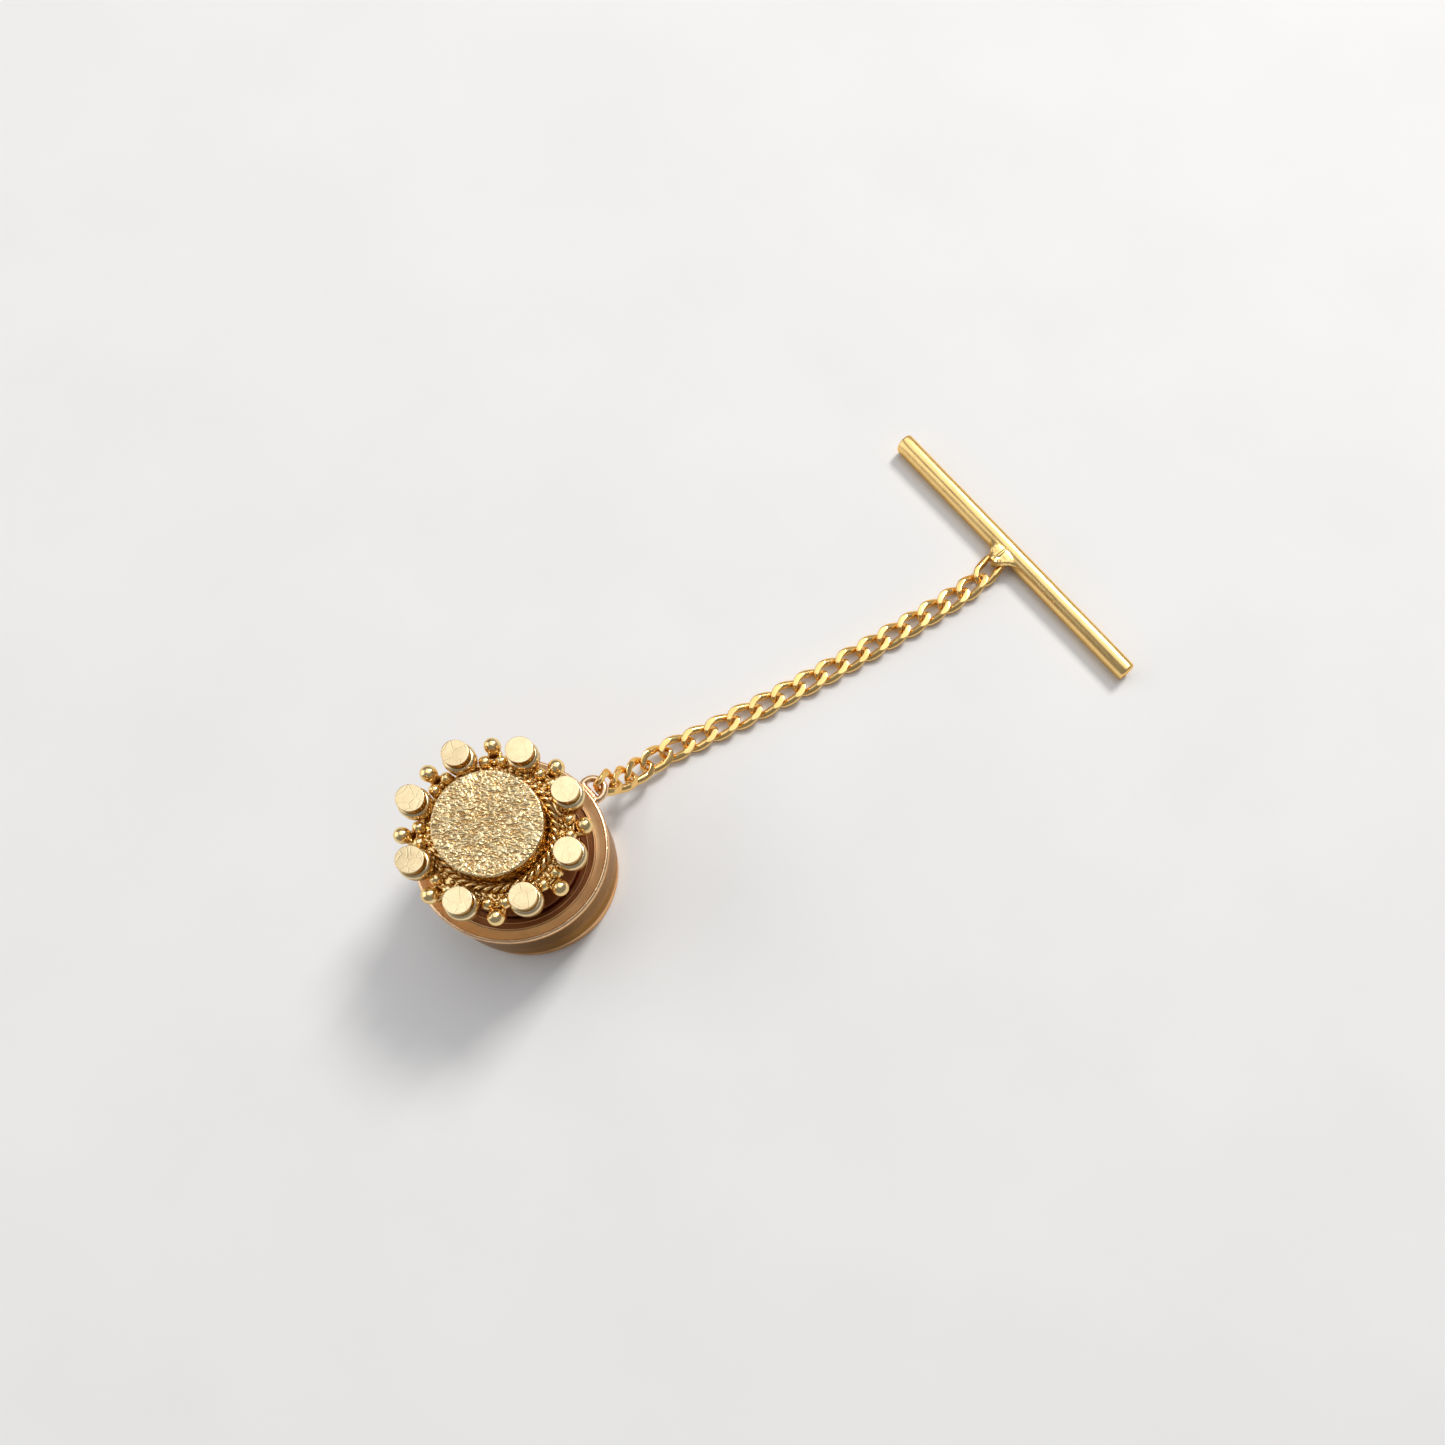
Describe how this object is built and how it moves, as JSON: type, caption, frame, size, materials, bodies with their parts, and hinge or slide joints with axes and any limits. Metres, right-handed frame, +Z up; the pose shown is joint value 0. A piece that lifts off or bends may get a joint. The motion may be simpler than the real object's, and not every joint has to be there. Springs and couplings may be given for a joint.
{
  "type": "tie tack with ball-lock clutch, chain and bar",
  "caption": "Tie tack: a round studded pin head on a post, a ball-lock clutch that grips the post, and a curb chain from the clutch to a short bar.",
  "frame": {"origin": "centre of the pull cap's flat face, which the clutch stands on", "axes": "+Z up along the post and clutch axis, from the pull cap to the pin head; +X along the chain, from the clutch to the bar"},
  "size_m": [0.0394, 0.0188, 0.0085],
  "materials": {
    "rose": "polished rose-gold plate",
    "dark_rose": "satin brown-rose plate",
    "pale_gold": "polished pale gold plate with fine scratches",
    "leaf_gold": "gold plate, darker in the hollows",
    "chain_gold": "polished yellow gold plate",
    "steel": "plain steel"
  },
  "bodies": {
    "clutch": {"clutch_shell": "rose", "front_washer": "dark_rose", "chain_ring": "rose"},
    "core": {"ball_seat": "dark_rose", "core_sleeve": "rose", "spring_retainer": "steel", "clutch_spring": "steel"},
    "puller": {"pull_cap": "rose", "ball_cage": "steel"},
    "ball_1": {"ball_1": "steel"},
    "ball_2": {"ball_2": "steel"},
    "ball_3": {"ball_3": "steel"},
    "tack": {"post": "pale_gold", "post_pad": "pale_gold", "back_plate": "leaf_gold", "rosette": "leaf_gold", "rope_ring": "leaf_gold", "drum": "leaf_gold", "centre_disc": "pale_gold", "petal_stud_1": "pale_gold", "petal_stud_2": "pale_gold", "petal_stud_3": "pale_gold", "petal_stud_4": "pale_gold", "petal_stud_5": "pale_gold", "petal_stud_6": "pale_gold", "petal_stud_7": "pale_gold", "petal_stud_8": "pale_gold", "bead_trio_1": "leaf_gold", "bead_trio_2": "leaf_gold", "bead_trio_3": "leaf_gold", "bead_trio_4": "leaf_gold", "bead_trio_5": "leaf_gold", "bead_trio_6": "leaf_gold", "bead_trio_7": "leaf_gold", "bead_trio_8": "leaf_gold"},
    "link_01": {"link_01": "chain_gold"},
    "link_02": {"link_02": "chain_gold"},
    "link_03": {"link_03": "chain_gold"},
    "link_04": {"link_04": "chain_gold"},
    "link_05": {"link_05": "chain_gold"},
    "link_06": {"link_06": "chain_gold"},
    "link_07": {"link_07": "chain_gold"},
    "link_08": {"link_08": "chain_gold"},
    "link_09": {"link_09": "chain_gold"},
    "link_10": {"link_10": "chain_gold"},
    "link_11": {"link_11": "chain_gold"},
    "link_12": {"link_12": "chain_gold"},
    "link_13": {"link_13": "chain_gold"},
    "link_14": {"link_14": "chain_gold"},
    "link_15": {"link_15": "chain_gold"},
    "link_16": {"link_16": "chain_gold"},
    "link_17": {"link_17": "chain_gold"},
    "link_18": {"link_18": "chain_gold"},
    "link_19": {"link_19": "chain_gold"},
    "link_20": {"link_20": "chain_gold"},
    "bar": {"t_bar": "chain_gold", "bar_eye": "chain_gold"}
  },
  "joints": [
    {"name": "core_spin", "type": "hinge", "parent": "clutch", "child": "core", "pos_m": [0, 0, 0.002], "axis": [0, 0, 1], "continuous": true},
    {"name": "cap_pull", "type": "slide", "parent": "core", "child": "puller", "axis": [0, 0, -1], "range_m": [0, 0.00045], "stiffness_N_per_m": 300, "deforming": ["clutch_spring"]},
    {"name": "ball_1_slide", "type": "slide", "parent": "puller", "child": "ball_1", "axis": [0.866, 0.5, 0], "range_m": [0, 0.00013]},
    {"name": "ball_2_slide", "type": "slide", "parent": "puller", "child": "ball_2", "axis": [-0.866, 0.5, 0], "range_m": [0, 0.00013]},
    {"name": "ball_3_slide", "type": "slide", "parent": "puller", "child": "ball_3", "axis": [0, -1, 0], "range_m": [0, 0.00013]},
    {"name": "tack_out", "type": "slide", "parent": "core", "child": "tack", "axis": [0, 0, 1], "range_m": [0, 0.008]},
    {"name": "link_01_lift", "type": "hinge", "parent": "clutch", "child": "link_01", "pos_m": [0.00538, 0.00095, 0.00396], "axis": [-0.1736, 0.9848, 0], "range_deg": [-15, 25]},
    {"name": "link_02_lift", "type": "hinge", "parent": "link_01", "child": "link_02", "pos_m": [0.00607, 0.00107, 0.00276], "axis": [-0.342, 0.9397, 0], "range_deg": [-10, 30]},
    {"name": "link_03_sway", "type": "hinge", "parent": "link_02", "child": "link_03", "pos_m": [0.00696, 0.00139, 0.00174], "axis": [-0.5118, -0.1863, -0.8387], "range_deg": [-20, 20]},
    {"name": "link_04_lift", "type": "hinge", "parent": "link_03", "child": "link_04", "pos_m": [0.00806, 0.00179, 0.00098], "axis": [0.2079, -0.9781, 0], "range_deg": [-30, 15]},
    {"name": "link_05_sway", "type": "hinge", "parent": "link_04", "child": "link_05", "pos_m": [0.00934, 0.00207, 0.00053], "axis": [0.1044, -0.0055, 0.9945], "range_deg": [-8, 30]},
    {"name": "link_06_lift", "type": "hinge", "parent": "link_05", "child": "link_06", "pos_m": [0.01072, 0.00199, 0.00038], "axis": [0.0593, 0.9982, 0], "range_deg": [-20, 30]},
    {"name": "link_07_sway", "type": "hinge", "parent": "link_06", "child": "link_07", "pos_m": [0.01211, 0.00191, 0.00038], "axis": [0, 0, -1], "range_deg": [-30, 30]},
    {"name": "link_08_lift", "type": "hinge", "parent": "link_07", "child": "link_08", "pos_m": [0.0135, 0.00184, 0.00038], "axis": [-0.0411, -0.9992, 0], "range_deg": [-30, 30]},
    {"name": "link_09_sway", "type": "hinge", "parent": "link_08", "child": "link_09", "pos_m": [0.01489, 0.00178, 0.00038], "axis": [0, 0, 1], "range_deg": [-30, 30]},
    {"name": "link_10_lift", "type": "hinge", "parent": "link_09", "child": "link_10", "pos_m": [0.01628, 0.00174, 0.00038], "axis": [0.0228, 0.9997, 0], "range_deg": [-30, 30]},
    {"name": "link_11_sway", "type": "hinge", "parent": "link_10", "child": "link_11", "pos_m": [0.01766, 0.00171, 0.00038], "axis": [0, 0, -1], "range_deg": [-30, 30]},
    {"name": "link_12_lift", "type": "hinge", "parent": "link_11", "child": "link_12", "pos_m": [0.01905, 0.00169, 0.00038], "axis": [-0.0046, -1, 0], "range_deg": [-30, 30]},
    {"name": "link_13_sway", "type": "hinge", "parent": "link_12", "child": "link_13", "pos_m": [0.02044, 0.00168, 0.00038], "axis": [0, 0, 1], "range_deg": [-30, 30]},
    {"name": "link_14_lift", "type": "hinge", "parent": "link_13", "child": "link_14", "pos_m": [0.02183, 0.00169, 0.00038], "axis": [-0.0137, 0.9999, 0], "range_deg": [-30, 30]},
    {"name": "link_15_sway", "type": "hinge", "parent": "link_14", "child": "link_15", "pos_m": [0.02322, 0.00171, 0.00038], "axis": [0, 0, -1], "range_deg": [-30, 30]},
    {"name": "link_16_lift", "type": "hinge", "parent": "link_15", "child": "link_16", "pos_m": [0.02461, 0.00174, 0.00038], "axis": [0.0319, -0.9995, 0], "range_deg": [-30, 30]},
    {"name": "link_17_sway", "type": "hinge", "parent": "link_16", "child": "link_17", "pos_m": [0.026, 0.00178, 0.00038], "axis": [0, 0, 1], "range_deg": [-30, 30]},
    {"name": "link_18_lift", "type": "hinge", "parent": "link_17", "child": "link_18", "pos_m": [0.02739, 0.00184, 0.00038], "axis": [-0.0502, 0.9987, 0], "range_deg": [-30, 30]},
    {"name": "link_19_sway", "type": "hinge", "parent": "link_18", "child": "link_19", "pos_m": [0.02878, 0.00191, 0.00038], "axis": [0.0346, 0.0049, -0.9994], "range_deg": [-22, 30]},
    {"name": "link_20_lift", "type": "hinge", "parent": "link_19", "child": "link_20", "pos_m": [0.03016, 0.0021, 0.00043], "axis": [0.309, -0.9511, 0], "range_deg": [-20, 30]},
    {"name": "bar_turn", "type": "hinge", "parent": "link_20", "child": "bar", "pos_m": [0.03147, 0.00253, 0.00053], "axis": [0, 0, 1], "range_deg": [-25, 25]}
  ],
  "couplings": [
    {"joint": "ball_1_slide", "follows": "cap_pull", "ratio": 0.28675},
    {"joint": "ball_2_slide", "follows": "cap_pull", "ratio": 0.28675},
    {"joint": "ball_3_slide", "follows": "cap_pull", "ratio": 0.28675}
  ]
}
